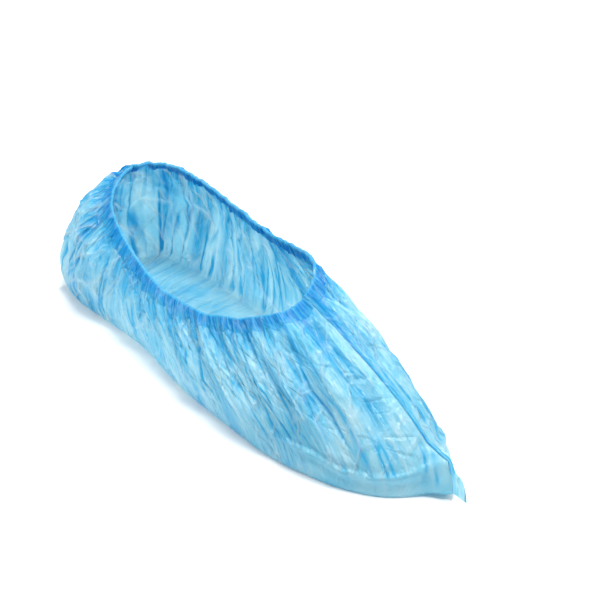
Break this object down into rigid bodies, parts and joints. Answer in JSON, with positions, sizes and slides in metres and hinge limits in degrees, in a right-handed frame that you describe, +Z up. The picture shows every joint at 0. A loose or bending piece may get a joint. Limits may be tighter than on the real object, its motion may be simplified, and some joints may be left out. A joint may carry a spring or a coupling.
{
  "type": "disposable shoe cover",
  "caption": "Hollow translucent film overshoe in its worn form, open at the top, with a gathered elastic hem, a flat sole and welded fins at toe and heel.",
  "frame": {"origin": "on the floor, under the middle of the cover's box", "axes": "+Z up, toe towards -Y, heel towards +Y, the wearer's right side towards -X"},
  "size_m": [0.0938, 0.3198, 0.0698],
  "materials": {
    "film": "thin crinkled translucent film",
    "hem_film": "doubled and pleated translucent film",
    "elastic": "matt covered elastic",
    "seam_film": "welded double film"
  },
  "bodies": {
    "root": {"film_body": "film", "gathered_hem": "hem_film", "elastic_cord": "elastic", "toe_seam": "seam_film", "heel_seam": "seam_film"}
  },
  "joints": []
}
